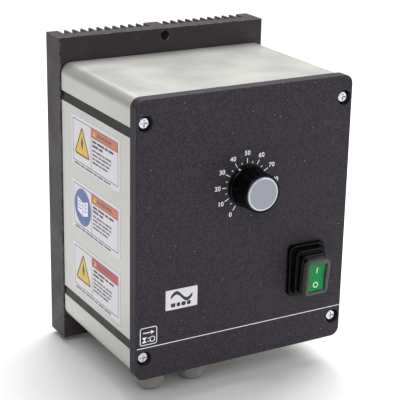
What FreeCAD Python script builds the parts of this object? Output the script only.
import FreeCAD, Part
import math
import os

# A wall-mounted drive controller: a finned heat sink, an extruded housing, a front cover with a
# speed knob and a mains rocker switch, two cable glands, and the power electronics inside.
# Sizes are in millimetres. X runs across the front, Z is up, the wall is the plane Y = 0 and the
# front faces -Y. The origin is midway between the two wall holes.

# ---- overall sizes
WIDTH = 160.0
SINK_HEIGHT = 220.0
COVER_HEIGHT = 188.0
HOUSING_LENGTH = 103.5

TINY = 1e-6              # tolerance when picking edges by place

# ---- clearances
THREAD_GAP = 0.05        # between a screw and the hole that it is threaded into
SCREW_GAP = 0.3          # radial, between a screw and the hole that it passes through
SLIP_GAP = 0.1           # between pieces that drop into each other
RUN_GAP = 0.08           # radial, between a shaft and its bearing
MOVE_GAP = 0.3           # between pieces that move past each other

# ---- heat sink
SINK_BASE = 10.5
FIN_LENGTH = 12.0
FIN_THICKNESS = 1.5
FINS_PER_BAY = 10
EDGE_RIB = 8.8
CENTRE_RIB = 10.8
SINK_EDGE_CHAMFER = 0.5
WALL_HOLE_R = 3.5
WALL_HOLE_INSET = 5.2    # hole centre from the end of the heat sink

# ---- housing extrusion
HOUSING_INSET = 0.8      # the housing's sides lie this far inside the cover's
HOUSING_WALL = 3.0
HOUSING_CORNER_R = 7.5
PORT_INSET_X = 6.3       # screw port centre from the cover's side edge
PORT_INSET_Z = 15.3      # screw port centre from the cover's top or bottom edge
PORT_WALL = 2.6          # metal round a port's screw hole
GROOVE_HEIGHT = 6.7
GROOVE_INSET_Z = 19.3    # groove's outer edge from the cover's top or bottom edge
GROOVE_DEPTH = 3.4
GROOVE_FLOOR = 2.2       # metal left behind a groove
GROOVE_RIM = 2.6         # thickened wall above and below a groove

# ---- trim strips in the grooves
STRIP_UPPER = 2.2        # strip thickness at its thin upper edge
STRIP_LOWER = 3.1        # strip thickness at its thick lower edge
STRIP_ROUND = 0.5        # bevel along both edges

# ---- gaskets and cover
GASKET = 1.0
GASKET_INSET = 0.9
GASKET_RAIL = 5.5        # gasket width along the top and bottom
PORT_MARGIN = 2.1        # seat left beside a screw port
COVER_DEPTH = 8.5
COVER_PANEL = 3.2
COVER_CORNER_R = 6.5
COVER_EDGE_R = 0.8
COUNTERBORE_GAP = 1.35   # round the screw's head
COUNTERBORE_DEPTH = 5.0

# ---- M4 fixing screws
FIX_R = 2.0
FIX_HEAD_R = 3.9
FIX_HEAD = 2.9
FIX_THREAD = 12.0        # length inside the screw port
HEAD_ROUND = 0.4         # rounding of a screw head, as a share of its height
CROSS_LENGTH = 4.8
CROSS_WIDTH = 1.1
CROSS_DEPTH = 1.6
REAR_POCKET_GAP = 0.7    # round the screw's head

# ---- speed knob and potentiometer
KNOB_X = 0.0
KNOB_Z = 28.7
KNOB_GAP = 0.8
KNOB_SKIRT_LIP = 0.7     # the skirt stands out this far round the knob
KNOB_SKIRT = 2.4
KNOB_BACK_R = 13.4
KNOB_FRONT_R = 12.9
KNOB_LENGTH = 18.8
KNOB_FLUTES = 24
KNOB_FLUTE_R = 1.2
KNOB_FLUTE_END = 1.0     # the flutes stop this far in front of the skirt
KNOB_EDGE = 0.6
CAP_LIP = 1.6            # knob wall round the cap, at the front
CAP_SINK = 2.0           # depth that the cap drops into the knob
CAP_THICKNESS = 2.4
CAP_EDGE_R = 0.7
SHAFT_R = 3.0
SHAFT_LENGTH = 15.0      # in front of the cover
BUSHING_WALL = 2.0
BUSHING_LENGTH = 6.0     # in front of the cover
BUSHING_CHAMFER = 0.5
COLLET_WALL = 2.0
COLLET_BACK = 8.0
COLLET_SLOT = 0.6
COLLET_SLOT_DEPTH = 4.0
COLLET_NUT_WALL = 1.8
COLLET_NUT = 2.2
POT_R = 12.0
POT_DEPTH = 9.0
POT_WALL = 1.0
POT_NUT_WALL = 2.0
POT_NUT = 2.4
POT_WASHER = 0.7
POT_WASHER_WALL = 3.2
TRACK_THICKNESS = 1.6
POT_TAG_PITCH = 5.0
POT_TAG_W = 2.0
POT_TAG_T = 0.6
POT_TAG_LENGTH = 6.0     # below the case

# ---- rocker switch
SWITCH_INSET_X = 32.0    # centre from the cover's right edge
SWITCH_INSET_Z = 56.8    # centre from the cover's bottom edge
SWITCH_SIDE_WALL = 4.0   # body wall beside the rocker
SWITCH_END_WALL = 2.9    # body wall above and below the rocker
SWITCH_FLANGE_SIDE = 1.5 # flange beyond the cut-out, at the sides
SWITCH_FLANGE_END = 1.0  # flange beyond the cut-out, above and below
SWITCH_FLANGE = 3.0
SWITCH_BACK = 26.0
SWITCH_WELL_DEPTH = 9.0
SWITCH_CORNER_R = 2.0
ROCKER_W = 12.2
ROCKER_H = 20.6
ROCKER_FACE = 15.4       # face height in front of the cover
ROCKER_DISH = 0.8
ROCKER_SIDE = 6.0
ROCKER_FOOT = 4.0
ROCKER_FOOT_DEPTH = 3.0  # behind the cover's face
ROCKER_BEND = 0.45       # where the dished face bends, as a share of the half height
ROCKER_BEND_DISH = 0.75  # dish at the bend, as a share of the full dish
PIVOT_HEIGHT = 1.2       # pivot in front of the cover
PIVOT_R = 1.5
PIVOT_REACH = 2.0        # pivot pin length inside the switch body's wall
ROCKER_TILT = 6.0        # degrees, from the middle to either pressed side
ROCKER_SIDE_GAP = 0.9    # between the rocker and the switch body
TAB_W = 4.8
TAB_T = 0.8
TAB_LENGTH = 8.0
TAB_PITCH_X = 10.0
TAB_PITCH_Z = 13.0
TAB_HOLE_R = 0.9
TAB_HOLE_AT = 0.6        # hole centre, as a share of the tab's length

# ---- switch boot and window
BOOT_SIDE = 1.75         # boot beyond the switch's flange, at the sides
BOOT_END = 2.3           # boot beyond the switch's flange, above and below
BOOT_FLANGE = 3.8
BOOT_THROAT_SIDE = 3.2   # room between the rocker's swing and the neck, at the sides
BOOT_THROAT_END = 0.9    # the same above and below
BOOT_NECK_TOP = 8.0
BOOT_NECK_ROOT = 0.5     # depth that the neck runs into the flange
BOOT_WALL = 1.2
BOOT_CORNER_R = 4.0
BOOT_EDGE_R = 0.8
WINDOW_SIDE_GAP = 1.8    # room between the rocker and the window, at the sides
WINDOW_END_GAP = 1.2     # the same above and below
WINDOW_TOP = 17.2
WINDOW_SKIRT = 2.2
WINDOW_WALL = 1.1
WINDOW_CORNER_R = 3.0

# ---- cable glands, M16
GLAND_INSETS_X = {"gland_left": 24.5, "gland_right": 57.0}   # centre from the left side
GLAND_FROM_FRONT = 27.0
GLAND_THREAD_R = 8.0
GLAND_TUBE_WALL = 2.6    # between the thread and the cable's way through
GLAND_HEX_STEP = 2.0     # flats beyond the thread
GLAND_HEX = 5.5
GLAND_THREAD_INSIDE = 9.0
GLAND_WASHER_WALL = 2.6
GLAND_WASHER = 1.2
GLAND_STUB_STEP = 1.0    # the lower thread is this much smaller in radius
GLAND_STUB = 7.2
GLAND_SEAT_WALL = 0.9    # wall of the lower thread round the seal
LOCKNUT = 4.5
SEAL_WALL = 0.8
SEAL_LENGTH = 6.4
CLAMP_RING = 1.4
CLAMP_RING_STEP = 0.6    # the ring's hole is this much larger than the seal's, in radius
DOME_WALL = 1.7          # at the flats
DOME_CORNER = 0.9        # rounded corners beyond the flats
DOME_LENGTH = 12.0
DOME_END = 2.5
DOME_ROUND = 6.0
DOME_HOLE_STEP = 0.2     # the dome's hole beyond the seal's bore, in radius
DOME_CHAMFER = 0.8
DOME_TRAVEL = 2.0        # axial travel of the dome nut when it is tightened

# ---- labels
LABEL_T = 0.2
LABEL_TO_FRONT = 14.5    # from the housing's front end
LABEL_TO_BACK = 16.0     # from the housing's back end
LABEL_SPACE = 10.4       # between one label and the next
LABELS = 3
NAMEPLATE_W = 23.3
NAMEPLATE_H = 13.8
NAMEPLATE_INSET_X = 33.0  # centre from the cover's left edge
NAMEPLATE_INSET_Z = 53.0  # centre from the cover's bottom edge
NAMEPLATE_T = 0.3
NAMEPLATE_CORNER_R = 0.6

# ---- power board and what stands on it
BOARD_W = 118.0
BOARD_H = 132.0
BOARD_T = 1.6
BOARD_RISE = 4.0         # board centre above the middle of the housing
STANDOFF = 20.0
STANDOFF_FLATS = 5.5
STANDOFF_INSET = 5.0
SMALL_SCREW_R = 1.5
SMALL_HEAD_R = 2.7
SMALL_HEAD = 2.0
SMALL_THREAD = 6.0
CAPACITOR_R = 15.0
CAPACITOR_LENGTH = 45.0
CAPACITOR_PITCH = 33.0
CAPACITOR_EDGE_R = 1.2
CHOKE_R = 16.0
CHOKE_HOLE_R = 10.0
CHOKE_HEIGHT = 10.0
WINDING_T = 2.0
WINDING_ARC = 120.0
RELAY_SIZE = (28.0, 15.0, 12.5)
RELAY_Z = -16.0
FUSE_R = 2.6
FUSE_LENGTH = 20.0
FUSE_BASE = (26.0, 9.0, 5.0)
FUSE_Z = 8.0
FUSE_CLIP = 4.0
FUSE_CLIP_WALL = 1.0
POLES = 7
POLE_PITCH = 9.5
TERMINAL_DEPTH = 20.0
TERMINAL_H = 16.0
TERMINAL_WIRE_R = 2.4
TERMINAL_SCREW_R = 2.6
TERMINAL_STEP = 6.0      # the wire side is this much lower
TERMINAL_WIRE_DEPTH = 8.0 # wire hole above the board
TERMINAL_SCREW_Z = 2.0   # screws above the block's middle
TERMINAL_SCREW_SINK = 2.0
TERMINAL_SLOT = 0.9

# ---- control board
CONTROL_W = 70.0
CONTROL_H = 46.0
CONTROL_T = 1.2
CONTROL_SPACER = 16.0
CONTROL_SPACER_R = 3.0
CONTROL_INSET = 4.5
HEADER_SIZE = (26.0, 5.0)
CHIP_SIZE = (14.0, 1.6, 14.0)
PLUG_SIZE = (15.0, 9.0, 6.0)
PLUG_X = 18.0            # either side of the control board's middle
PLUG_Z = 13.0
SPACER_TIP = 1.5         # a spacer's pin in front of the control board

# ---- power modules on the heat sink
PAD = 0.5
MODULE_W = 56.0
MODULE_H = 36.0
MODULE_T = 12.0
MODULE_HOLE_PITCH = 46.0
MODULE_PINS = 8
PIN_R = 0.5
PIN_INSET_X = 8.0
PIN_INSET_Z = 3.0
POST_INSET = 5.0         # rectifier posts from its sides
MODULE_CORNER_R = 1.5
RECTIFIER_SIDE = 28.5
RECTIFIER_T = 10.0
MODULE_SCREW_DEPTH = 7.0
EARTH_R = 2.5
EARTH_LENGTH = 12.0
EARTH_NUT = 4.0
EARTH_NUT_FLATS = 8.0
EARTH_INSET_X = 18.0
EARTH_INSET_Z = 20.0

# ---- planes and centres that follow from the sizes above
SINK_FRONT = -(SINK_BASE + FIN_LENGTH)
HOUSING_BACK = SINK_FRONT - GASKET
HOUSING_FRONT = HOUSING_BACK - HOUSING_LENGTH
COVER_BACK = HOUSING_FRONT - GASKET
FRONT = COVER_BACK - COVER_DEPTH
HOUSING_HALF_W = WIDTH / 2 - HOUSING_INSET
HOUSING_HALF_H = COVER_HEIGHT / 2 - HOUSING_INSET
PORT_R = FIX_R + PORT_WALL
COUNTERBORE_R = FIX_HEAD_R + COUNTERBORE_GAP
REAR_POCKET_R = FIX_HEAD_R + REAR_POCKET_GAP
PORT_X = WIDTH / 2 - PORT_INSET_X
PORT_Z = COVER_HEIGHT / 2 - PORT_INSET_Z
SEAT_HALF_W = PORT_X - PORT_R - PORT_MARGIN
SEAT_HALF_H = HOUSING_HALF_H - GASKET_RAIL
GROOVE_TOP = COVER_HEIGHT / 2 - GROOVE_INSET_Z
LABEL_PITCH = 2 * (GROOVE_TOP - GROOVE_HEIGHT) / LABELS
LABEL_H = LABEL_PITCH - LABEL_SPACE
KNOB_SKIRT_R = KNOB_BACK_R + KNOB_SKIRT_LIP
CAP_R = KNOB_FRONT_R - CAP_LIP
BUSHING_R = SHAFT_R + BUSHING_WALL
COLLET_R = SHAFT_R + COLLET_WALL
COLLET_NUT_R = COLLET_R + COLLET_NUT_WALL
POT_NUT_FLATS = 2 * (BUSHING_R + POT_NUT_WALL)
POT_WASHER_R = BUSHING_R + POT_WASHER_WALL
ROCKER_SWING = (ROCKER_FACE - PIVOT_HEIGHT) * math.sin(math.radians(ROCKER_TILT))
WELL_W = ROCKER_W + 2 * ROCKER_SIDE_GAP
WELL_H = ROCKER_H + 2 * (ROCKER_SWING + MOVE_GAP)
SWITCH_CUT_W = WELL_W + 2 * SWITCH_SIDE_WALL
SWITCH_CUT_H = WELL_H + 2 * SWITCH_END_WALL
SWITCH_FLANGE_W = SWITCH_CUT_W + 2 * SWITCH_FLANGE_SIDE
SWITCH_FLANGE_H = SWITCH_CUT_H + 2 * SWITCH_FLANGE_END
BOOT_W = SWITCH_FLANGE_W + 2 * BOOT_SIDE
BOOT_H = SWITCH_FLANGE_H + 2 * BOOT_END
BOOT_NECK_W = WELL_W + 2 * (BOOT_THROAT_SIDE + BOOT_WALL)
BOOT_NECK_H = WELL_H + 2 * (BOOT_THROAT_END + BOOT_WALL)
WINDOW_W = ROCKER_W + 2 * (WINDOW_SIDE_GAP + WINDOW_WALL)
WINDOW_H = ROCKER_H + 2 * (WINDOW_END_GAP + WINDOW_WALL)
GLAND_BORE_R = GLAND_THREAD_R - GLAND_TUBE_WALL
GLAND_FLATS = 2 * (GLAND_THREAD_R + GLAND_HEX_STEP)
GLAND_WASHER_R = GLAND_THREAD_R + GLAND_WASHER_WALL
GLAND_STUB_R = GLAND_THREAD_R - GLAND_STUB_STEP
GLAND_SEAT_R = GLAND_STUB_R - GLAND_SEAT_WALL
SEAL_R = GLAND_SEAT_R - MOVE_GAP
SEAL_BORE_R = SEAL_R - SEAL_WALL
DOME_FLATS = 2 * (GLAND_STUB_R + SLIP_GAP + DOME_WALL)
DOME_CORNER_R = DOME_FLATS / 2 + DOME_CORNER
DOME_HOLE_R = SEAL_BORE_R + DOME_HOLE_STEP
SWITCH_X = WIDTH / 2 - SWITCH_INSET_X
SWITCH_Z = SWITCH_INSET_Z - COVER_HEIGHT / 2
BOARD_BACK = SINK_FRONT - STANDOFF
BOARD_FRONT = BOARD_BACK - BOARD_T
CONTROL_BACK = BOARD_FRONT - CONTROL_SPACER
CONTROL_X = CONTROL_W / 2 - BOARD_W / 2 + 2.0
CONTROL_Z = -6.0
CAPACITOR_X = -BOARD_W / 2 + CAPACITOR_R + 6.0
CAPACITOR_Z = BOARD_RISE + BOARD_H / 2 - CAPACITOR_R - 8.0
RIGHT_COLUMN_X = BOARD_W / 2 - 25.0
MODULE_X = -BOARD_W / 2 + MODULE_W / 2 + 12.0
MODULE_Z = BOARD_RISE + 26.0
RECTIFIER_X = BOARD_W / 2 - RECTIFIER_SIDE / 2 - 12.0
PORTS = [(sx * PORT_X, sz * PORT_Z) for sx in (-1, 1) for sz in (-1, 1)]


# ---- helpers
def point(x, y, z):
    return FreeCAD.Vector(x, y, z)


def block(x0, x1, y0, y1, z0, z1):
    return Part.makeBox(x1 - x0, y1 - y0, z1 - z0, point(x0, y0, z0))


def centred(x, z, width, height, y0, y1):
    """A block centred on (x, z) that runs from y0 to y1."""
    return block(x - width / 2, x + width / 2, y0, y1, z - height / 2, z + height / 2)


def edges_along(shape, axis):
    """The straight edges of a shape that run along one axis."""
    straight = [edge for edge in shape.Edges if isinstance(edge.Curve, Part.Line)]
    return [edge for edge in straight if abs(abs(edge.Curve.Direction.dot(axis)) - 1) < TINY]


def edges_at_y(shape, y):
    """The edges of a shape that lie in the plane at this Y."""
    return [edge for edge in shape.Edges if abs(edge.BoundBox.YMin - y) + abs(edge.BoundBox.YMax - y) < TINY]


def rounded(x, z, width, height, radius, y0, y1):
    """A centred block whose four corners in the XZ plane are rounded."""
    solid = centred(x, z, width, height, y0, y1)
    return solid.makeFillet(radius, edges_along(solid, point(0, 1, 0)))


def rod_y(x, z, radius, y0, y1):
    return Part.makeCylinder(radius, y1 - y0, point(x, y0, z), point(0, 1, 0))


def rod_z(x, y, radius, z0, z1):
    return Part.makeCylinder(radius, z1 - z0, point(x, y, z0), point(0, 0, 1))


def rod_x(centre, radius, length):
    """A cylinder along X, centred on a point."""
    return Part.makeCylinder(radius, length, centre - point(length / 2, 0, 0), point(1, 0, 0))


def hexagon(flats, centre, direction, length):
    """A hexagonal prism that starts at centre, with two flats facing along X."""
    corner_r = flats / math.sqrt(3)
    angles = [math.radians(30 + 60 * turn) for turn in range(7)]
    corners = [point(corner_r * math.cos(angle), corner_r * math.sin(angle), 0) for angle in angles]
    prism = Part.Face(Part.makePolygon(corners)).extrude(point(0, 0, length))
    prism.Placement = FreeCAD.Placement(centre, FreeCAD.Rotation(point(0, 0, 1), direction))
    return prism


def turned(profile, x, z):
    """A solid of revolution about the Y axis through (x, z). Profile points are (radius, y)."""
    points = [point(radius, y, 0) for radius, y in profile]
    face = Part.Face(Part.makePolygon(points + points[:1]))
    solid = face.revolve(point(0, 0, 0), point(0, 1, 0), 360)
    solid.translate(point(x, 0, z))
    return solid


def ring_z(x, y, outer, inner, z0, z1):
    return rod_z(x, y, outer, z0, z1).cut(rod_z(x, y, inner, z0, z1))


def ring_y(x, z, outer, inner, y0, y1):
    return rod_y(x, z, outer, y0, y1).cut(rod_y(x, z, inner, y0, y1))


def screw(x, z, seat, radius, head_radius, head, length):
    """A cross-recessed screw whose head sits on the plane Y = seat and points to -Y."""
    body = rod_y(x, z, head_radius, seat - head, seat)
    body = body.makeFillet(head * HEAD_ROUND, edges_at_y(body, seat - head))
    body = body.fuse(rod_y(x, z, radius, seat, seat + length))
    reach = CROSS_LENGTH * head_radius / FIX_HEAD_R
    floor = seat - head + CROSS_DEPTH * head / FIX_HEAD
    for width, height in ((reach, CROSS_WIDTH), (CROSS_WIDTH, reach)):
        body = body.cut(centred(x, z, width, height, seat - head - 1, floor))
    return body.removeSplitter()


def from_front(distance):
    """The Y value that lies this far in front of the cover's face."""
    return FRONT - distance


# ---- heat sink and housing
def sink_screw_holes():
    """Threaded holes in the heat sink's front face, for what is mounted inside."""
    holes = []
    for x, z in standoff_places():
        holes.append(rod_y(x, z, SMALL_SCREW_R + THREAD_GAP, SINK_FRONT, SINK_FRONT + SMALL_THREAD + 1))
    for x, z in module_screw_places():
        holes.append(rod_y(x, z, FIX_R + THREAD_GAP, SINK_FRONT, SINK_FRONT + MODULE_SCREW_DEPTH + 1))
    x, z = earth_place()
    holes.append(rod_y(x, z, EARTH_R + THREAD_GAP, SINK_FRONT, SINK_FRONT + MODULE_SCREW_DEPTH))
    return holes


def make_heat_sink():
    sink = centred(0, 0, WIDTH, SINK_HEIGHT, SINK_FRONT, 0)
    sink = sink.makeChamfer(SINK_EDGE_CHAMFER, edges_along(sink, point(0, 0, 1)))
    bay = WIDTH / 2 - EDGE_RIB - CENTRE_RIB / 2
    gap = (bay - FINS_PER_BAY * FIN_THICKNESS) / (FINS_PER_BAY + 1)
    cuts = []
    for side in (-1, 1):
        for index in range(FINS_PER_BAY + 1):
            start = CENTRE_RIB / 2 + index * (gap + FIN_THICKNESS)
            x = side * (start + gap / 2)
            cuts.append(centred(x, 0, gap, SINK_HEIGHT + 2, SINK_FRONT + SINK_BASE, 1))
    for end in (-1, 1):
        z = end * (SINK_HEIGHT / 2 - WALL_HOLE_INSET)
        cuts.append(rod_y(0, z, WALL_HOLE_R, SINK_FRONT - 1, 1))
    for x, z in PORTS:
        cuts.append(rod_y(x, z, FIX_R + SCREW_GAP, SINK_FRONT - 1, 1))
        cuts.append(rod_y(x, z, REAR_POCKET_R, SINK_FRONT + SINK_BASE, 1))
    return sink.cut(cuts + sink_screw_holes())


def make_gasket(y0, y1):
    outer = rounded(0, 0, 2 * (HOUSING_HALF_W - GASKET_INSET), 2 * (HOUSING_HALF_H - GASKET_INSET),
                    HOUSING_CORNER_R - GASKET_INSET, y0, y1)
    inner = rounded(0, 0, 2 * SEAT_HALF_W, 2 * SEAT_HALF_H, HOUSING_WALL, y0 - 1, y1 + 1)
    holes = [rod_y(x, z, FIX_R + SCREW_GAP, y0 - 1, y1 + 1) for x, z in PORTS]
    return outer.cut([inner] + holes)


def make_rear_screws():
    screws = []
    length = SINK_BASE + GASKET + FIX_THREAD
    for x, z in PORTS:
        one = screw(0, 0, 0, FIX_R, FIX_HEAD_R, FIX_HEAD, length)
        one.rotate(point(0, 0, 0), point(0, 0, 1), 180)
        one.translate(point(x, SINK_FRONT + SINK_BASE, z))
        screws.append(one)
    return Part.Compound(screws)


def gland_places():
    y = FRONT + GLAND_FROM_FRONT
    return {name: (inset - WIDTH / 2, y) for name, inset in GLAND_INSETS_X.items()}


def groove_z(level):
    """The lower and upper edge of the groove in the upper (1) or lower (-1) half of a side."""
    edges = sorted((level * GROOVE_TOP, level * (GROOVE_TOP - GROOVE_HEIGHT)))
    return edges[0], edges[1]


def make_housing_shell():
    width = 2 * HOUSING_HALF_W
    height = 2 * HOUSING_HALF_H
    outer = rounded(0, 0, width, height, HOUSING_CORNER_R, HOUSING_FRONT, HOUSING_BACK)
    inner = rounded(0, 0, width - 2 * HOUSING_WALL, height - 2 * HOUSING_WALL,
                    HOUSING_CORNER_R - HOUSING_WALL, HOUSING_FRONT - 1, HOUSING_BACK + 1)
    shell = outer.cut(inner)
    added = [rod_y(x, z, PORT_R, HOUSING_FRONT, HOUSING_BACK) for x, z in PORTS]
    cuts = [rod_y(x, z, FIX_R + THREAD_GAP, HOUSING_FRONT - 1, HOUSING_BACK + 1) for x, z in PORTS]
    for side in (-1, 1):
        outside = side * HOUSING_HALF_W
        floor = side * (HOUSING_HALF_W - GROOVE_DEPTH)
        inside = side * (HOUSING_HALF_W - GROOVE_DEPTH - GROOVE_FLOOR)
        for level in (-1, 1):
            low, high = groove_z(level)
            x0, x1 = sorted((inside, outside))
            added.append(block(x0, x1, HOUSING_FRONT, HOUSING_BACK, low - GROOVE_RIM, high + GROOVE_RIM))
            x0, x1 = sorted((floor, outside + side))
            cuts.append(block(x0, x1, HOUSING_FRONT - 1, HOUSING_BACK + 1, low, high))
    bottom = -HOUSING_HALF_H
    for x, y in gland_places().values():
        cuts.append(rod_z(x, y, GLAND_THREAD_R + SLIP_GAP, bottom - 1, bottom + HOUSING_WALL + 1))
    return shell.fuse(added).cut(cuts).removeSplitter()


def make_groove_strips(side):
    """The two trim strips on one side: thin at the top of the groove, thick at its lower lip."""
    strips = []
    for level in (-1, 1):
        low, high = groove_z(level)
        low += SLIP_GAP
        high -= SLIP_GAP
        back = HOUSING_HALF_W - GROOVE_DEPTH + SLIP_GAP
        upper = back + STRIP_UPPER
        lower = back + STRIP_LOWER
        outline = [(back, low), (lower - STRIP_ROUND, low), (lower, low + STRIP_ROUND),
                   (upper, high - STRIP_ROUND), (upper - STRIP_ROUND, high), (back, high)]
        points = [point(side * x, HOUSING_FRONT, z) for x, z in outline]
        face = Part.Face(Part.makePolygon(points + points[:1]))
        strips.append(face.extrude(point(0, HOUSING_LENGTH, 0)))
    return Part.Compound(strips)


# ---- cover
def make_front_cover():
    cover = rounded(0, 0, WIDTH, COVER_HEIGHT, COVER_CORNER_R, FRONT, COVER_BACK)
    cover = cover.makeFillet(COVER_EDGE_R, edges_at_y(cover, FRONT))
    inside = FRONT + COVER_PANEL
    cuts = [rounded(0, 0, 2 * SEAT_HALF_W, 2 * SEAT_HALF_H, HOUSING_WALL, inside, COVER_BACK + 1)]
    for x, z in PORTS:
        cuts.append(rod_y(x, z, FIX_R + SCREW_GAP, FRONT - 1, COVER_BACK + 1))
        cuts.append(rod_y(x, z, COUNTERBORE_R, FRONT - 1, FRONT + COUNTERBORE_DEPTH))
    cuts.append(rod_y(KNOB_X, KNOB_Z, BUSHING_R + SLIP_GAP, FRONT - 1, COVER_BACK))
    cuts.append(rounded(SWITCH_X, SWITCH_Z, SWITCH_CUT_W, SWITCH_CUT_H, SWITCH_CORNER_R / 2,
                        FRONT - 1, COVER_BACK))
    return cover.cut(cuts)


def make_cover_screws():
    length = COVER_DEPTH - COUNTERBORE_DEPTH + GASKET + FIX_THREAD
    seat = FRONT + COUNTERBORE_DEPTH
    return Part.Compound([screw(x, z, seat, FIX_R, FIX_HEAD_R, FIX_HEAD, length) for x, z in PORTS])


# ---- speed knob and potentiometer
def make_knob_body():
    back = from_front(KNOB_GAP)
    skirt = back - KNOB_SKIRT
    front = back - KNOB_LENGTH
    pocket = COLLET_NUT_R + 4 * SLIP_GAP
    nut_seat = from_front(SHAFT_LENGTH - COLLET_NUT)
    recess = POT_WASHER_R + 2 * MOVE_GAP
    recess_end = from_front(BUSHING_LENGTH + 2 * MOVE_GAP)
    bore = COLLET_R + SLIP_GAP
    cap_hole = CAP_R + SLIP_GAP
    profile = [(recess, back), (KNOB_SKIRT_R, back), (KNOB_SKIRT_R, skirt),
               (KNOB_BACK_R, skirt - KNOB_SKIRT_LIP), (KNOB_FRONT_R, front + KNOB_EDGE),
               (KNOB_FRONT_R - KNOB_EDGE, front), (cap_hole, front), (cap_hole, front + CAP_SINK),
               (pocket, front + CAP_SINK), (pocket, nut_seat), (bore, nut_seat), (bore, recess_end),
               (recess, recess_end)]
    knob = turned(profile, KNOB_X, KNOB_Z)
    flutes = []
    for index in range(KNOB_FLUTES):
        angle = 2 * math.pi * index / KNOB_FLUTES
        radius = KNOB_BACK_R + KNOB_FLUTE_R / 3
        x = KNOB_X + radius * math.sin(angle)
        z = KNOB_Z + radius * math.cos(angle)
        flutes.append(rod_y(x, z, KNOB_FLUTE_R, front - 1, skirt - KNOB_FLUTE_END))
    return knob.cut(flutes)


def make_knob_cap():
    seat = from_front(KNOB_GAP + KNOB_LENGTH) + CAP_SINK
    disc = rod_y(KNOB_X, KNOB_Z, CAP_R, seat - CAP_THICKNESS, seat)
    return disc.makeFillet(CAP_EDGE_R, edges_at_y(disc, seat - CAP_THICKNESS))


def make_knob_collet():
    back = from_front(COLLET_BACK)
    front = from_front(SHAFT_LENGTH)
    sleeve = ring_y(KNOB_X, KNOB_Z, COLLET_R, SHAFT_R + SLIP_GAP / 2, front, back)
    slots = []
    for turn in (0, 90):
        slot = centred(0, 0, 2 * COLLET_R + 1, COLLET_SLOT, front - 1, front + COLLET_SLOT_DEPTH)
        slot.rotate(point(0, 0, 0), point(0, 1, 0), turn)
        slot.translate(point(KNOB_X, 0, KNOB_Z))
        slots.append(slot)
    return sleeve.cut(slots)


def make_collet_nut():
    seat = from_front(SHAFT_LENGTH - COLLET_NUT)
    return ring_y(KNOB_X, KNOB_Z, COLLET_NUT_R, COLLET_R + THREAD_GAP, seat - COLLET_NUT, seat)


def make_pot_shaft():
    """The potentiometer's shaft with its wiper disc, which turns inside the case."""
    case_front = FRONT + COVER_PANEL
    shaft = rod_y(KNOB_X, KNOB_Z, SHAFT_R, from_front(SHAFT_LENGTH), case_front + POT_WALL + MOVE_GAP)
    disc = rod_y(KNOB_X, KNOB_Z, POT_R - POT_WALL - 2 * MOVE_GAP, case_front + POT_WALL + MOVE_GAP,
                 case_front + POT_DEPTH - MOVE_GAP)
    return shaft.fuse(disc)


def make_pot_case():
    case_front = FRONT + COVER_PANEL
    inner = POT_R - POT_WALL
    bore = SHAFT_R + RUN_GAP
    end = from_front(BUSHING_LENGTH)
    profile = [(bore, end), (BUSHING_R - BUSHING_CHAMFER, end), (BUSHING_R, end + BUSHING_CHAMFER),
               (BUSHING_R, case_front), (POT_R, case_front), (POT_R, case_front + POT_DEPTH),
               (inner, case_front + POT_DEPTH), (inner, case_front + POT_WALL),
               (bore, case_front + POT_WALL)]
    return turned(profile, KNOB_X, KNOB_Z)


def make_pot_track():
    """The track wafer that closes the case, with its three solder tags."""
    back = FRONT + COVER_PANEL + POT_DEPTH
    wafer = rod_y(KNOB_X, KNOB_Z, POT_R, back, back + TRACK_THICKNESS)
    for index in (-1, 0, 1):
        x = KNOB_X + index * POT_TAG_PITCH
        y = back + (TRACK_THICKNESS - POT_TAG_T) / 2
        tag = block(x - POT_TAG_W / 2, x + POT_TAG_W / 2, y, y + POT_TAG_T,
                    KNOB_Z - POT_R - POT_TAG_LENGTH, KNOB_Z - POT_R / 2)
        wafer = wafer.fuse(tag)
    return wafer


def make_pot_nut():
    seat = from_front(POT_WASHER)
    nut = hexagon(POT_NUT_FLATS, point(KNOB_X, seat, KNOB_Z), point(0, -1, 0), POT_NUT)
    return nut.cut(rod_y(KNOB_X, KNOB_Z, BUSHING_R + THREAD_GAP, seat - POT_NUT - 1, seat + 1))


def make_pot_washer():
    return ring_y(KNOB_X, KNOB_Z, POT_WASHER_R, BUSHING_R + SLIP_GAP, from_front(POT_WASHER), FRONT)


# ---- rocker switch
def rocker_pivot():
    return point(SWITCH_X, from_front(PIVOT_HEIGHT), SWITCH_Z)


def at_rest(solid):
    """Tip a rocker piece from its middle position to the rest position, lower side pressed in."""
    solid.rotate(rocker_pivot(), point(1, 0, 0), ROCKER_TILT)
    return solid


def make_switch_body():
    back = FRONT + SWITCH_BACK
    body = rounded(SWITCH_X, SWITCH_Z, SWITCH_CUT_W - 2 * SLIP_GAP, SWITCH_CUT_H - 2 * SLIP_GAP,
                   SWITCH_CORNER_R / 2, FRONT, back)
    flange = rounded(SWITCH_X, SWITCH_Z, SWITCH_FLANGE_W, SWITCH_FLANGE_H, SWITCH_CORNER_R,
                     from_front(SWITCH_FLANGE), FRONT)
    well = centred(SWITCH_X, SWITCH_Z, WELL_W, WELL_H, from_front(SWITCH_FLANGE) - 1,
                   FRONT + SWITCH_WELL_DEPTH)
    bearing = rod_x(rocker_pivot(), PIVOT_R + RUN_GAP, WELL_W + 2 * PIVOT_REACH)
    return body.fuse(flange).cut([well, bearing])


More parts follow.
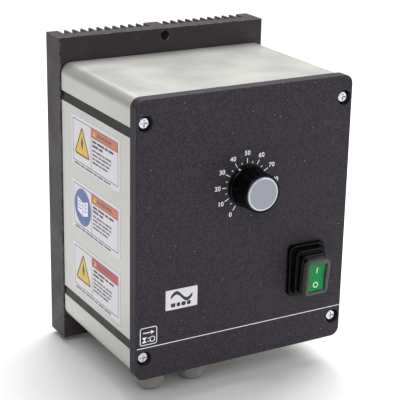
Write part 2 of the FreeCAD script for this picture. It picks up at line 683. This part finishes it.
def make_switch_rocker():
    half = ROCKER_H / 2
    bend = half * ROCKER_BEND
    bend_face = ROCKER_FACE - ROCKER_DISH * ROCKER_BEND_DISH
    outline = [(-ROCKER_FOOT, -ROCKER_FOOT_DEPTH), (ROCKER_FOOT, -ROCKER_FOOT_DEPTH), (half, ROCKER_SIDE),
               (half, ROCKER_FACE), (bend, bend_face), (0, ROCKER_FACE - ROCKER_DISH),
               (-bend, bend_face), (-half, ROCKER_FACE), (-half, ROCKER_SIDE)]
    left = SWITCH_X - ROCKER_W / 2
    points = [point(left, from_front(height), SWITCH_Z + z) for z, height in outline]
    rocker = Part.Face(Part.makePolygon(points + points[:1])).extrude(point(ROCKER_W, 0, 0))
    pin = rod_x(rocker_pivot(), PIVOT_R, WELL_W + 2 * (PIVOT_REACH - MOVE_GAP))
    return at_rest(rocker.fuse(pin))


def make_switch_boot():
    """The fixed part of the sealing boot: a flange over the switch and the foot of its bellows."""
    flange = rounded(SWITCH_X, SWITCH_Z, BOOT_W, BOOT_H, BOOT_CORNER_R, from_front(BOOT_FLANGE), FRONT)
    flange = flange.makeFillet(BOOT_EDGE_R, edges_at_y(flange, from_front(BOOT_FLANGE)))
    neck = rounded(SWITCH_X, SWITCH_Z, BOOT_NECK_W, BOOT_NECK_H, BOOT_CORNER_R,
                   from_front(BOOT_NECK_TOP), from_front(BOOT_FLANGE - BOOT_NECK_ROOT))
    pocket = rounded(SWITCH_X, SWITCH_Z, SWITCH_FLANGE_W + 2 * SLIP_GAP, SWITCH_FLANGE_H + 2 * SLIP_GAP,
                     SWITCH_CORNER_R, from_front(SWITCH_FLANGE + SLIP_GAP), FRONT + 1)
    throat = rounded(SWITCH_X, SWITCH_Z, BOOT_NECK_W - 2 * BOOT_WALL, BOOT_NECK_H - 2 * BOOT_WALL,
                     BOOT_CORNER_R - BOOT_WALL, from_front(BOOT_NECK_TOP + 1), FRONT + 1)
    return flange.fuse(neck).cut([pocket, throat])


def make_switch_window():
    """The clear top of the boot, which tips with the rocker."""
    top = from_front(WINDOW_TOP)
    under = from_front(ROCKER_FACE + SLIP_GAP)
    window = rounded(SWITCH_X, SWITCH_Z, WINDOW_W, WINDOW_H, WINDOW_CORNER_R, top, under + WINDOW_SKIRT)
    window = window.makeFillet(BOOT_EDGE_R, edges_at_y(window, top))
    room = rounded(SWITCH_X, SWITCH_Z, WINDOW_W - 2 * WINDOW_WALL, WINDOW_H - 2 * WINDOW_WALL,
                   WINDOW_CORNER_R - WINDOW_WALL, under, under + WINDOW_SKIRT + 1)
    return at_rest(window.cut(room))


def make_switch_terminals():
    tabs = []
    back = FRONT + SWITCH_BACK
    for sx in (-1, 1):
        for sz in (-1, 1):
            x = SWITCH_X + sx * TAB_PITCH_X / 2
            z = SWITCH_Z + sz * TAB_PITCH_Z / 2
            tab = centred(x, z, TAB_T, TAB_W, back, back + TAB_LENGTH)
            hole = rod_x(point(x, back + TAB_LENGTH * TAB_HOLE_AT, z), TAB_HOLE_R, 2 * TAB_T)
            tabs.append(tab.cut(hole))
    return Part.Compound(tabs)


# ---- cable glands
def gland_levels():
    """Heights along a gland's axis, from the housing's underside downwards."""
    wall = -HOUSING_HALF_H
    hex_top = wall - GLAND_WASHER
    hex_bottom = hex_top - GLAND_HEX
    stub_bottom = hex_bottom - GLAND_STUB
    nut_top = hex_bottom - DOME_TRAVEL - MOVE_GAP
    nut_bottom = nut_top - DOME_LENGTH
    return wall, hex_top, hex_bottom, stub_bottom, nut_top, nut_bottom


def make_gland_body(x, y):
    wall, hex_top, hex_bottom, stub_bottom = gland_levels()[:4]
    body = hexagon(GLAND_FLATS, point(x, y, hex_bottom), point(0, 0, 1), GLAND_HEX)
    body = body.fuse(rod_z(x, y, GLAND_THREAD_R, hex_top, wall + HOUSING_WALL + GLAND_THREAD_INSIDE))
    body = body.fuse(rod_z(x, y, GLAND_STUB_R, stub_bottom, hex_bottom))
    bore = rod_z(x, y, GLAND_BORE_R, stub_bottom - 1, wall + HOUSING_WALL + GLAND_THREAD_INSIDE + 1)
    seat = rod_z(x, y, GLAND_SEAT_R, stub_bottom - 1, hex_bottom)
    return body.cut([bore, seat])


def make_gland_washer(x, y):
    wall, hex_top = gland_levels()[:2]
    return ring_z(x, y, GLAND_WASHER_R, GLAND_THREAD_R + SLIP_GAP, hex_top, wall)


def make_gland_locknut(x, y):
    inner_face = gland_levels()[0] + HOUSING_WALL
    nut = hexagon(GLAND_FLATS, point(x, y, inner_face), point(0, 0, 1), LOCKNUT)
    return nut.cut(rod_z(x, y, GLAND_THREAD_R + THREAD_GAP, inner_face - 1, inner_face + LOCKNUT + 1))


def seal_levels():
    nut_bottom = gland_levels()[5]
    ring_bottom = nut_bottom + DOME_END + SLIP_GAP
    ring_top = ring_bottom + CLAMP_RING
    return ring_bottom, ring_top, ring_top + SEAL_LENGTH


def make_gland_seal(x, y):
    _, bottom, top = seal_levels()
    return ring_z(x, y, SEAL_R, SEAL_BORE_R, bottom, top)


def make_gland_clamp_ring(x, y):
    bottom, top = seal_levels()[:2]
    return ring_z(x, y, GLAND_STUB_R - SLIP_GAP, SEAL_BORE_R + CLAMP_RING_STEP, bottom, top)


def make_gland_dome_nut(x, y):
    nut_top, nut_bottom = gland_levels()[4:]
    nut = hexagon(DOME_FLATS, point(x, y, nut_bottom), point(0, 0, 1), DOME_LENGTH)
    envelope = rod_z(x, y, DOME_CORNER_R, nut_bottom, nut_top)
    lower = [edge for edge in envelope.Edges if abs(edge.BoundBox.ZMax - nut_bottom) < TINY]
    envelope = envelope.makeFillet(DOME_ROUND, lower)
    upper = [edge for edge in envelope.Edges if abs(edge.BoundBox.ZMin - nut_top) < TINY]
    envelope = envelope.makeChamfer(DOME_CHAMFER, upper)
    cavity = rod_z(x, y, GLAND_STUB_R + SLIP_GAP, nut_bottom + DOME_END, nut_top + 1)
    hole = rod_z(x, y, DOME_HOLE_R, nut_bottom - 1, nut_top)
    return nut.common(envelope).cut([cavity, hole])


# ---- labels
def make_side_label(level):
    y0 = HOUSING_FRONT + LABEL_TO_FRONT
    y1 = HOUSING_BACK - LABEL_TO_BACK
    z = level * LABEL_PITCH
    outside = -HOUSING_HALF_W
    return block(outside - LABEL_T, outside, y0, y1, z - LABEL_H / 2, z + LABEL_H / 2)


def make_nameplate():
    x = NAMEPLATE_INSET_X - WIDTH / 2
    z = NAMEPLATE_INSET_Z - COVER_HEIGHT / 2
    return rounded(x, z, NAMEPLATE_W, NAMEPLATE_H, NAMEPLATE_CORNER_R, from_front(NAMEPLATE_T), FRONT)


# ---- power electronics
def standoff_places():
    x = BOARD_W / 2 - STANDOFF_INSET
    z = BOARD_H / 2 - STANDOFF_INSET
    return [(sx * x, BOARD_RISE + sz * z) for sx in (-1, 1) for sz in (-1, 1)]


def module_screw_places():
    half = MODULE_HOLE_PITCH / 2
    return [(MODULE_X - half, MODULE_Z), (MODULE_X + half, MODULE_Z), (RECTIFIER_X, MODULE_Z)]


def earth_place():
    return WIDTH / 2 - EARTH_INSET_X, EARTH_INSET_Z - COVER_HEIGHT / 2


def make_board_standoffs():
    posts = []
    for x, z in standoff_places():
        post = hexagon(STANDOFF_FLATS, point(x, SINK_FRONT, z), point(0, -1, 0), STANDOFF)
        thread = rod_y(x, z, SMALL_SCREW_R + THREAD_GAP, BOARD_BACK - 1, BOARD_BACK + SMALL_THREAD + 1)
        stud = rod_y(x, z, SMALL_SCREW_R, SINK_FRONT, SINK_FRONT + SMALL_THREAD)
        posts.append(post.cut(thread).fuse(stud))
    return Part.Compound(posts)


def make_power_board():
    board = centred(0, BOARD_RISE, BOARD_W, BOARD_H, BOARD_FRONT, BOARD_BACK)
    return board.cut([rod_y(x, z, SMALL_SCREW_R + SCREW_GAP, BOARD_FRONT - 1, BOARD_BACK + 1)
                      for x, z in standoff_places()])


def make_board_screws():
    length = BOARD_T + SMALL_THREAD
    return Part.Compound([screw(x, z, BOARD_FRONT, SMALL_SCREW_R, SMALL_HEAD_R, SMALL_HEAD, length)
                          for x, z in standoff_places()])


def make_thermal_pad():
    pad = centred(MODULE_X, MODULE_Z, MODULE_W, MODULE_H, SINK_FRONT - PAD, SINK_FRONT)
    return pad.cut([rod_y(x, z, FIX_R + SCREW_GAP, SINK_FRONT - PAD - 1, SINK_FRONT + 1)
                    for x, z in module_screw_places()[:2]])


def make_inverter_module():
    back = SINK_FRONT - PAD
    front = back - MODULE_T
    body = rounded(MODULE_X, MODULE_Z, MODULE_W, MODULE_H, MODULE_CORNER_R, front, back)
    for x, z in module_screw_places()[:2]:
        body = body.cut(rod_y(x, z, FIX_HEAD_R + MOVE_GAP, front - 1, back - MODULE_T / 2))
        body = body.cut(rod_y(x, z, FIX_R + SCREW_GAP, front - 1, back + 1))
    pitch = (MODULE_W - 2 * PIN_INSET_X) / (MODULE_PINS - 1)
    for index in range(MODULE_PINS):
        x = MODULE_X + (index - (MODULE_PINS - 1) / 2) * pitch
        for side in (-1, 1):
            z = MODULE_Z + side * (MODULE_H / 2 - PIN_INSET_Z)
            body = body.fuse(rod_y(x, z, PIN_R, BOARD_BACK, front))
    return body


def make_rectifier():
    front = SINK_FRONT - RECTIFIER_T
    body = rounded(RECTIFIER_X, MODULE_Z, RECTIFIER_SIDE, RECTIFIER_SIDE, MODULE_CORNER_R,
                   front, SINK_FRONT)
    body = body.cut(rod_y(RECTIFIER_X, MODULE_Z, FIX_R + SCREW_GAP, front - 1, SINK_FRONT + 1))
    reach = RECTIFIER_SIDE / 2 - POST_INSET
    for sx in (-1, 1):
        for sz in (-1, 1):
            x = RECTIFIER_X + sx * reach
            z = MODULE_Z + sz * reach
            body = body.fuse(rod_y(x, z, 2 * PIN_R, BOARD_BACK, front))
    return body


def make_module_screws():
    seats = [SINK_FRONT - PAD - MODULE_T / 2] * 2 + [SINK_FRONT - RECTIFIER_T]
    screws = []
    for (x, z), seat in zip(module_screw_places(), seats):
        length = SINK_FRONT - seat + MODULE_SCREW_DEPTH
        screws.append(screw(x, z, seat, FIX_R, FIX_HEAD_R, FIX_HEAD, length))
    return Part.Compound(screws)


def make_capacitors():
    cans = []
    for index in range(2):
        x = CAPACITOR_X + index * CAPACITOR_PITCH
        can = rod_y(x, CAPACITOR_Z, CAPACITOR_R, BOARD_FRONT - CAPACITOR_LENGTH, BOARD_FRONT)
        rims = [edge for edge in can.Edges if edge.Closed]
        cans.append(can.makeFillet(CAPACITOR_EDGE_R, rims))
    return Part.Compound(cans)


def choke_section(inner, outer, y0, y1, sweep, start):
    section = Part.Face(Part.makePolygon([point(inner, y0, 0), point(outer, y0, 0), point(outer, y1, 0),
                                          point(inner, y1, 0), point(inner, y0, 0)]))
    ring = section.revolve(point(0, 0, 0), point(0, 1, 0), sweep)
    ring.rotate(point(0, 0, 0), point(0, 1, 0), start)
    ring.translate(point(RIGHT_COLUMN_X, 0, CAPACITOR_Z))
    return ring


def choke_back():
    return BOARD_FRONT - WINDING_T - SLIP_GAP


def make_choke_core():
    return choke_section(CHOKE_HOLE_R, CHOKE_R, choke_back() - CHOKE_HEIGHT, choke_back(), 360, 0)


def make_choke_windings():
    coils = []
    back = choke_back()
    for start in (30, 210):
        coil = choke_section(CHOKE_HOLE_R - WINDING_T, CHOKE_R + WINDING_T, back - CHOKE_HEIGHT - WINDING_T,
                             back + WINDING_T, WINDING_ARC, start)
        hollow = choke_section(CHOKE_HOLE_R - SLIP_GAP, CHOKE_R + SLIP_GAP, back - CHOKE_HEIGHT - SLIP_GAP,
                               back + SLIP_GAP, 360, 0)
        coils.append(coil.cut(hollow))
    return Part.Compound(coils)


def make_relay():
    width, depth, height = RELAY_SIZE
    front = BOARD_FRONT - depth
    return rounded(RIGHT_COLUMN_X, RELAY_Z, width, height, CAPACITOR_EDGE_R, front, BOARD_FRONT)


def fuse_centre():
    return point(RIGHT_COLUMN_X, BOARD_FRONT - FUSE_BASE[2] - FUSE_R, FUSE_Z)


def make_fuse_holder():
    width, height, depth = FUSE_BASE
    centre = fuse_centre()
    base = centred(centre.x, centre.z, width, height, BOARD_FRONT - depth, BOARD_FRONT)
    for side in (-1, 1):
        x = centre.x + side * (FUSE_LENGTH - FUSE_CLIP) / 2
        clip = centred(x, centre.z, FUSE_CLIP, 2 * (FUSE_R + FUSE_CLIP_WALL), centre.y - FUSE_R / 2,
                       BOARD_FRONT - depth)
        base = base.fuse(clip)
    return base.cut(rod_x(centre, FUSE_R + THREAD_GAP, width + 2))


def make_fuse():
    return rod_x(fuse_centre(), FUSE_R, FUSE_LENGTH)


def terminal_z():
    return BOARD_RISE - BOARD_H / 2 + TERMINAL_H / 2 + 1.0


def pole_places():
    return [(index - (POLES - 1) / 2) * POLE_PITCH for index in range(POLES)]


def make_terminal_block():
    front = BOARD_FRONT - TERMINAL_DEPTH
    z = terminal_z()
    body = centred(0, z, POLES * POLE_PITCH, TERMINAL_H, front, BOARD_FRONT)
    half = POLES * POLE_PITCH / 2 + 1
    wires = BOARD_FRONT - TERMINAL_WIRE_DEPTH
    cuts = [block(-half, half, front - 1, front + TERMINAL_STEP, z - TERMINAL_H, z - TERMINAL_H / 4)]
    for x in pole_places():
        cuts.append(rod_z(x, wires, TERMINAL_WIRE_R, z - TERMINAL_H, z))
        cuts.append(rod_y(x, z + TERMINAL_SCREW_Z, TERMINAL_SCREW_R + THREAD_GAP, front - 1, wires))
    return body.cut(cuts)


def make_terminal_screws():
    screws = []
    front = BOARD_FRONT - TERMINAL_DEPTH
    top = front + TERMINAL_SCREW_SINK
    end = BOARD_FRONT - TERMINAL_WIRE_DEPTH - MOVE_GAP
    z = terminal_z() + TERMINAL_SCREW_Z
    for x in pole_places():
        slot = centred(x, z, 2 * TERMINAL_SCREW_R + 1, TERMINAL_SLOT, front, top + TERMINAL_SLOT)
        screws.append(rod_y(x, z, TERMINAL_SCREW_R, top, end).cut(slot))
    return Part.Compound(screws)


def control_corners():
    x = CONTROL_W / 2 - CONTROL_INSET
    z = CONTROL_H / 2 - CONTROL_INSET
    return [(CONTROL_X + sx * x, CONTROL_Z + sz * z) for sx in (-1, 1) for sz in (-1, 1)]


def make_control_board():
    front = CONTROL_BACK - CONTROL_T
    board = centred(CONTROL_X, CONTROL_Z, CONTROL_W, CONTROL_H, front, CONTROL_BACK)
    return board.cut([rod_y(x, z, CONTROL_SPACER_R / 2 + SLIP_GAP, front - 1, CONTROL_BACK + 1)
                      for x, z in control_corners()])


def make_control_spacers():
    spacers = []
    for x, z in control_corners():
        spacer = rod_y(x, z, CONTROL_SPACER_R, CONTROL_BACK, BOARD_FRONT)
        tip = rod_y(x, z, CONTROL_SPACER_R / 2, CONTROL_BACK - CONTROL_T - SPACER_TIP, CONTROL_BACK)
        spacers.append(spacer.fuse(tip))
    return Part.Compound(spacers)


def make_board_header():
    width, height = HEADER_SIZE
    z = CONTROL_Z - CONTROL_H / 2 + height / 2 + 1
    return centred(CONTROL_X, z, width, height, CONTROL_BACK, BOARD_FRONT)


def make_control_parts():
    """The processor and the two plugs that the potentiometer's and the switch's leads go to."""
    face = CONTROL_BACK - CONTROL_T
    width, depth, height = CHIP_SIZE
    parts = [centred(CONTROL_X, CONTROL_Z, width, height, face - depth, face)]
    width, depth, height = PLUG_SIZE
    for side in (-1, 1):
        x = CONTROL_X + side * PLUG_X
        parts.append(centred(x, CONTROL_Z + PLUG_Z, width, height, face - depth, face))
    return Part.Compound(parts)


def make_earth_stud():
    x, z = earth_place()
    return rod_y(x, z, EARTH_R, SINK_FRONT - EARTH_LENGTH, SINK_FRONT + MODULE_SCREW_DEPTH - 1)


def make_earth_nuts():
    x, z = earth_place()
    nuts = []
    for index in range(2):
        seat = SINK_FRONT - index * EARTH_NUT
        nut = hexagon(EARTH_NUT_FLATS, point(x, seat, z), point(0, -1, 0), EARTH_NUT)
        nuts.append(nut.cut(rod_y(x, z, EARTH_R + THREAD_GAP, seat - EARTH_NUT - 1, seat + 1)))
    return Part.Compound(nuts)


# ---- the nodes
def make_nodes():
    nodes = {
        "heat_sink": make_heat_sink(),
        "rear_gasket": make_gasket(HOUSING_BACK, SINK_FRONT),
        "rear_screws": make_rear_screws(),
        "housing_shell": make_housing_shell(),
        "groove_strips_left": make_groove_strips(-1),
        "groove_strips_right": make_groove_strips(1),
        "front_gasket": make_gasket(COVER_BACK, HOUSING_FRONT),
        "front_cover": make_front_cover(),
        "cover_screws": make_cover_screws(),
        "knob_body": make_knob_body(),
        "knob_cap": make_knob_cap(),
        "knob_collet": make_knob_collet(),
        "collet_nut": make_collet_nut(),
        "pot_shaft": make_pot_shaft(),
        "pot_case": make_pot_case(),
        "pot_track": make_pot_track(),
        "pot_nut": make_pot_nut(),
        "pot_washer": make_pot_washer(),
        "switch_body": make_switch_body(),
        "switch_rocker": make_switch_rocker(),
        "switch_boot": make_switch_boot(),
        "switch_window": make_switch_window(),
        "switch_terminals": make_switch_terminals(),
        "label_upper": make_side_label(1),
        "label_middle": make_side_label(0),
        "label_lower": make_side_label(-1),
        "nameplate": make_nameplate(),
        "board_standoffs": make_board_standoffs(),
        "power_board": make_power_board(),
        "board_screws": make_board_screws(),
        "thermal_pad": make_thermal_pad(),
        "inverter_module": make_inverter_module(),
        "rectifier": make_rectifier(),
        "module_screws": make_module_screws(),
        "dc_capacitors": make_capacitors(),
        "choke_core": make_choke_core(),
        "choke_windings": make_choke_windings(),
        "charging_relay": make_relay(),
        "fuse_holder": make_fuse_holder(),
        "fuse": make_fuse(),
        "terminal_block": make_terminal_block(),
        "terminal_screws": make_terminal_screws(),
        "control_board": make_control_board(),
        "control_spacers": make_control_spacers(),
        "board_header": make_board_header(),
        "control_parts": make_control_parts(),
        "earth_stud": make_earth_stud(),
        "earth_nuts": make_earth_nuts(),
    }
    for name, (x, y) in gland_places().items():
        nodes[name + "_body"] = make_gland_body(x, y)
        nodes[name + "_washer"] = make_gland_washer(x, y)
        nodes[name + "_locknut"] = make_gland_locknut(x, y)
        nodes[name + "_seal"] = make_gland_seal(x, y)
        nodes[name + "_clamp_ring"] = make_gland_clamp_ring(x, y)
        nodes[name + "_dome_nut"] = make_gland_dome_nut(x, y)
    return nodes


os.makedirs("parts", exist_ok=True)
for node, shape in make_nodes().items():
    shape.exportStep("parts/" + node + ".step")
    print(node, len(shape.Solids), round(shape.Volume), shape.isValid())
